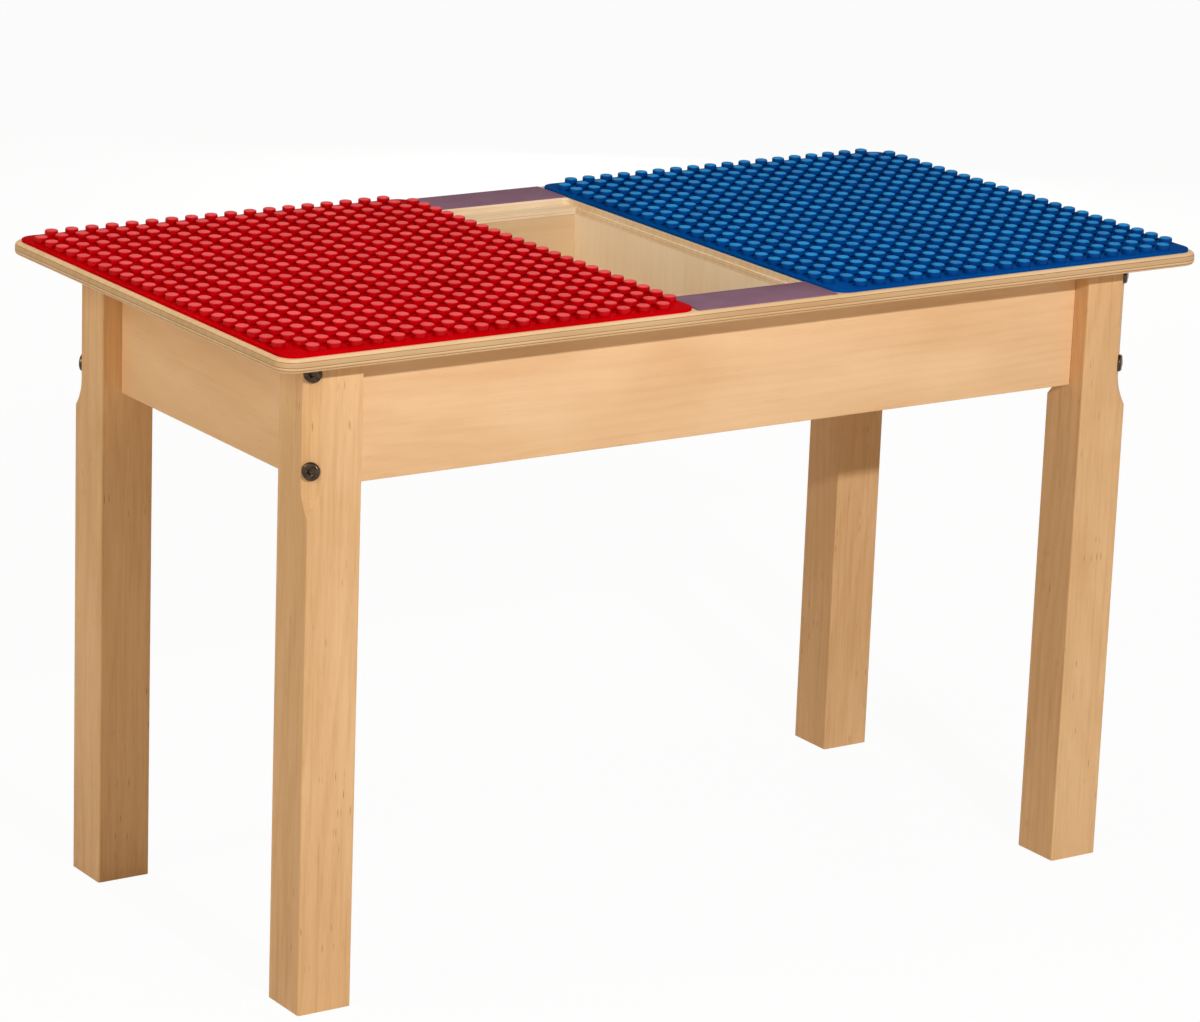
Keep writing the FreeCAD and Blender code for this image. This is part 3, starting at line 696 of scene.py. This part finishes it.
def make_plate(name, node, material, slot):
    low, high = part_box(node)
    high = Vector((high.x, high.y, high.z - STUD_HEIGHT))
    sheet = slab_mesh(name + "_sheet", low, high, PLATE_CORNER, PLATE_EASING)
    centre = ((low.x + high.x) / 2, (low.y + high.y) / 2, high.z)
    mesh = sent_through(STUD_TREE, STUD_KEYS, name, sheet, {
        "Studs Along": STUDS_ALONG, "Studs Deep": STUDS_DEEP, "Pitch": STUD_PITCH, "Radius": STUD_RADIUS,
        "Height": STUD_HEIGHT, "Rounding": STUD_ROUNDING, "Centre": centre, "Material": material})
    finish_piece(name, mesh, material, slot, node)


make_plate("red_plate", "red_stud_plate", red_plastic, "red_plastic")
make_plate("blue_plate", "blue_stud_plate", blue_plastic, "blue_plastic")


# Trim strips
for side in ("front", "back"):
    low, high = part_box(side + "_trim_strip")
    strip = slab_mesh(side + "_strip", low, high, STRIP_CORNER, STRIP_EASING)
    finish_piece(side + "_strip", strip, plum_laminate, "plum_laminate", side + "_trim_strip")


# Aprons made from the CAD solids, with their long arrises eased
MERGE_DISTANCE = 0.002 * MM
FLAT_ANGLE = math.radians(0.5)
ARRIS_ANGLE = math.radians(60)
ARRIS_LENGTH = 9 * MM
EDGE_TOLERANCE = 0.01 * MM


def is_arris(edge, low, high):
    """Whether a long sharp edge lies along one of the board's own twelve arrises."""
    if not edge.is_manifold or edge.calc_face_angle() <= ARRIS_ANGLE or edge.calc_length() <= ARRIS_LENGTH:
        return False
    middle = (edge.verts[0].co + edge.verts[1].co) / 2
    faces = sum(min(middle[i] - low[i], high[i] - middle[i]) < EDGE_TOLERANCE for i in range(3))
    return faces >= 2


def make_board(node, easing, material, slot):
    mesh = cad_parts[node].data.copy()
    if "custom_normal" in mesh.attributes:
        mesh.attributes.remove(mesh.attributes["custom_normal"])
    bm = bmesh.new()
    bm.from_mesh(mesh)
    bmesh.ops.remove_doubles(bm, verts=bm.verts, dist=MERGE_DISTANCE)
    bmesh.ops.dissolve_limit(bm, angle_limit=FLAT_ANGLE, verts=bm.verts, edges=bm.edges)
    low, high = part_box(node)
    arrises = [edge for edge in bm.edges if is_arris(edge, low, high)]
    bmesh.ops.bevel(bm, geom=arrises, offset=easing, segments=3, profile=0.5, affect="EDGES")
    board = mesh_from(bm, node + "_board", 40)
    bpy.data.meshes.remove(mesh)
    piece = finish_piece(node + "_board", board, material, slot, node)
    weight_normals(piece)


for node in ("front_apron", "back_apron"):
    make_board(node, APRON_EASING, maple_long, "maple")
for node in ("left_apron", "right_apron"):
    make_board(node, APRON_EASING, maple_end, "maple")


# Leg bolts: one bolt with a round-shouldered head and a hexagon socket, set twice on each leg's outer flat
def bolt_mesh():
    """A bolt along +Z whose head sits on z = 0."""
    bm = bmesh.new()
    turns = [2 * math.pi * i / BOLT_SIDES for i in range(BOLT_SIDES)]

    def circle(radius, z):
        return [bm.verts.new((radius * math.cos(turn), radius * math.sin(turn), z)) for turn in turns]

    def hexagon(z):
        points = []
        for turn in turns:
            from_flat = (turn + math.pi / 6) % (math.pi / 3) - math.pi / 6
            reach = SOCKET_ACROSS / 2 / math.cos(from_flat)
            points.append(bm.verts.new((reach * math.cos(turn), reach * math.sin(turn), z)))
        return points

    rings = [circle(SHANK_RADIUS, -SHANK_LENGTH), circle(SHANK_RADIUS, 0.0),
             circle(HEAD_RADIUS - HEAD_FOOT_INSET, 0.0), circle(HEAD_RADIUS, HEAD_FOOT_HEIGHT)]
    shoulder = HEAD_HEIGHT - HEAD_CROWN - HEAD_RIM
    for step in range(SHOULDER_STEPS + 1):
        angle = math.radians(SHOULDER_SWEEP * step / SHOULDER_STEPS)
        rings.append(circle(HEAD_FLAT + (HEAD_RADIUS - HEAD_FLAT) * math.cos(angle),
                            HEAD_RIM + shoulder * math.sin(angle)))
    rings += [circle(SOCKET_ACROSS / 2 + SOCKET_MARGIN, HEAD_HEIGHT), hexagon(HEAD_HEIGHT - SOCKET_BEVEL),
              hexagon(HEAD_HEIGHT - SOCKET_DEPTH)]
    close_stack(bm, rings)
    return mesh_from(bm, "leg_bolt", 40)


def make_bolt_tree():
    tree, given, result, keys = new_tree(
        "bolt_set", "GeometryNodeTree",
        (("Bolt", "Geometry"), ("Along", "Float"), ("Deep", "Float"), ("Lower", "Float"), ("Upper", "Float"),
         ("Material", "Material")),
        (("Bolts", "Geometry"),))
    grid = add(tree, "GeometryNodeMeshGrid")
    fill(tree, grid, {"Vertices X": 2, "Vertices Y": 2,
                      "Size X": given.outputs["Along"], "Size Y": given.outputs["Deep"]})
    rows = add(tree, "GeometryNodeJoinGeometry")
    for label in ("Lower", "Upper"):
        wire(tree, lifted(tree, grid.outputs["Mesh"], given.outputs[label]), rows.inputs[0])
    # Each bolt points away from the table, across its leg's corner
    corner = vector_math(tree, "SIGN", add(tree, "GeometryNodeInputPosition").outputs[0])
    turned = add(tree, "FunctionNodeAlignRotationToVector", axis="Z")
    wire(tree, scaled(tree, corner, (1.0, 1.0, 0.0)), turned.inputs["Vector"])
    bolts = add(tree, "GeometryNodeInstanceOnPoints")
    fill(tree, bolts, {"Points": rows.outputs[0], "Instance": given.outputs["Bolt"],
                       "Rotation": turned.outputs["Rotation"]})
    end_tree(tree, bolts.outputs["Instances"], given, result)
    return tree, keys


def make_bolts():
    tree, keys = make_bolt_tree()
    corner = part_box("back_right_leg")[1]
    low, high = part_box("leg_bolts")
    mesh = sent_through(tree, keys, "leg_bolt_base", bolt_mesh(), {
        "Along": 2 * corner.x - LEG_FLAT, "Deep": 2 * corner.y - LEG_FLAT,
        "Lower": low.z + HEAD_RADIUS, "Upper": high.z - HEAD_RADIUS, "Material": dark_bronze})
    finish_piece("domed_leg_bolts", mesh, dark_bronze, "dark_bronze", "leg_bolts")


make_bolts()


# CAD nodes whose shape is right keep it, and get their finish
def dress(node, material):
    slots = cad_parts[node].data.materials
    slots.clear()
    slots.append(material)


for node in LEGS:
    dress(node, maple_leg)
for node in ("well_left_wall", "well_right_wall", "well_floor"):
    dress(node, well_wood)
for node in BRACES + CLEATS:
    dress(node, inner_wood)
for node in ("leg_washers", "leg_nuts", "brace_screws", "top_screws", "cleat_screws", "well_floor_screws"):
    dress(node, zinc_steel)


# Camera at the photograph's angle; its frame is 1200 by 1022 pixels
FRAME_WIDTH = 1200
FOCAL_PIXELS = 4676.3
SENSOR = 36.0
CAMERA_PLACE = (-1.810488, -2.688129, 1.186087)
CAMERA_HEADING = math.radians(-33.907804)
CAMERA_DIP = math.radians(15.846187)
CAMERA_ROLL = math.radians(2.130564)

camera_data = bpy.data.cameras.new("camera")
camera_data.sensor_fit = "HORIZONTAL"
camera_data.sensor_width = SENSOR
camera_data.lens = FOCAL_PIXELS * SENSOR / FRAME_WIDTH
camera_data.clip_end = 100.0
camera = bpy.data.objects.new("camera", camera_data)
scene.collection.objects.link(camera)
camera.matrix_world = (Matrix.Translation(CAMERA_PLACE)
                       @ Matrix.Rotation(CAMERA_HEADING, 4, "Z")
                       @ Matrix.Rotation(math.radians(90) - CAMERA_DIP, 4, "X")
                       @ Matrix.Rotation(CAMERA_ROLL, 4, "Z"))
scene.camera = camera


# Light: a small near key in front of the left end, a tall fill at the left, soft lamps overhead and behind,
# and a dim warm surround
def add_lamp(name, place, target, size, power, tint):
    data = bpy.data.lights.new(name, "AREA")
    data.shape = "ELLIPSE"
    data.size, data.size_y = size
    data.energy = power
    data.color = tint
    lamp = bpy.data.objects.new(name, data)
    scene.collection.objects.link(lamp)
    lamp.visible_camera = False
    lamp.location = place
    lamp.rotation_euler = (Vector(place) - Vector(target)).to_track_quat("Z", "Y").to_euler()
    return lamp


add_lamp("key", (-0.322, -2.365, 1.48), (-0.1, 0.0, 0.4), size=(0.07, 0.07), power=38.8, tint=(0.97, 1.0, 1.07))
add_lamp("fill", (-1.65, -0.08, 1.06), (-0.33, 0.0, 0.45), size=(0.5, 1.1), power=7.9, tint=(1.0, 0.97, 0.86))
add_lamp("overhead", (-0.1, 0.0, 2.3), (-0.1, 0.0, 0.4), size=(1.4, 1.4), power=10.5, tint=(1.0, 0.95, 0.88))
back = add_lamp("back", (1.5, 2.1, 0.45), (0.0, 0.0, 0.35), size=(0.7, 0.7), power=17.0, tint=(1.0, 0.97, 0.92))
back.visible_glossy = False

SURROUND_TINT = (1.0, 0.8, 0.55, 1.0)
SURROUND_STRENGTH = 0.17
FLOOR_HALF = 30.0
FLOOR_TINT = (0.88, 0.83, 0.74, 1.0)
FLOOR_WHITE = grey(0.95)
FLOOR_GLOW = 0.96


def seen_straight(tree):
    """1 where the camera, gloss or glass shows the surround, 0 where the surround only lights the table."""
    ray = add(tree, "ShaderNodeLightPath")
    seen = math_node(tree, "MAXIMUM", ray.outputs["Is Camera Ray"], ray.outputs["Is Glossy Ray"])
    return math_node(tree, "MAXIMUM", seen, ray.outputs["Is Transmission Ray"])


def end_with_mix(tree, share, first, second, output):
    """Ends a tree with a mix of two shaders."""
    mix = add(tree, "ShaderNodeMixShader")
    for socket, source in zip(mix.inputs, (share, first.outputs[0], second.outputs[0])):
        wire(tree, source, socket)
    wire(tree, mix.outputs[0], add(tree, output).inputs["Surface"])


def make_surround():
    world = bpy.data.worlds.new("surround")
    scene.world = world
    world.use_nodes = True
    tree = world.node_tree
    tree.nodes.clear()
    dim = add(tree, "ShaderNodeBackground")
    fill(tree, dim, {"Color": SURROUND_TINT, "Strength": SURROUND_STRENGTH})
    white = add(tree, "ShaderNodeBackground")
    fill(tree, white, {"Color": grey(1.0), "Strength": 1.0})
    end_with_mix(tree, seen_straight(tree), dim, white, "ShaderNodeOutputWorld")


make_surround()


# Floor: white where the camera sees it, with a faint shadow under the table
def make_floor():
    bm = bmesh.new()
    bmesh.ops.create_grid(bm, x_segments=1, y_segments=1, size=FLOOR_HALF)
    mesh = bpy.data.meshes.new("floor")
    bm.to_mesh(mesh)
    bm.free()
    floor = bpy.data.objects.new("floor", mesh)
    scene.collection.objects.link(floor)
    made = bpy.data.materials.new("white_floor")
    made.use_nodes = True
    tree = made.node_tree
    tree.nodes.clear()
    seen = seen_straight(tree)
    matt = add(tree, "ShaderNodeBsdfDiffuse")
    wire(tree, mixed(tree, seen, FLOOR_TINT, FLOOR_WHITE), matt.inputs["Color"])
    glow = add(tree, "ShaderNodeEmission")
    fill(tree, glow, {"Color": grey(1.0), "Strength": 1.0})
    end_with_mix(tree, product(tree, seen, FLOOR_GLOW), matt, glow, "ShaderNodeOutputMaterial")
    mesh.materials.append(made)


make_floor()
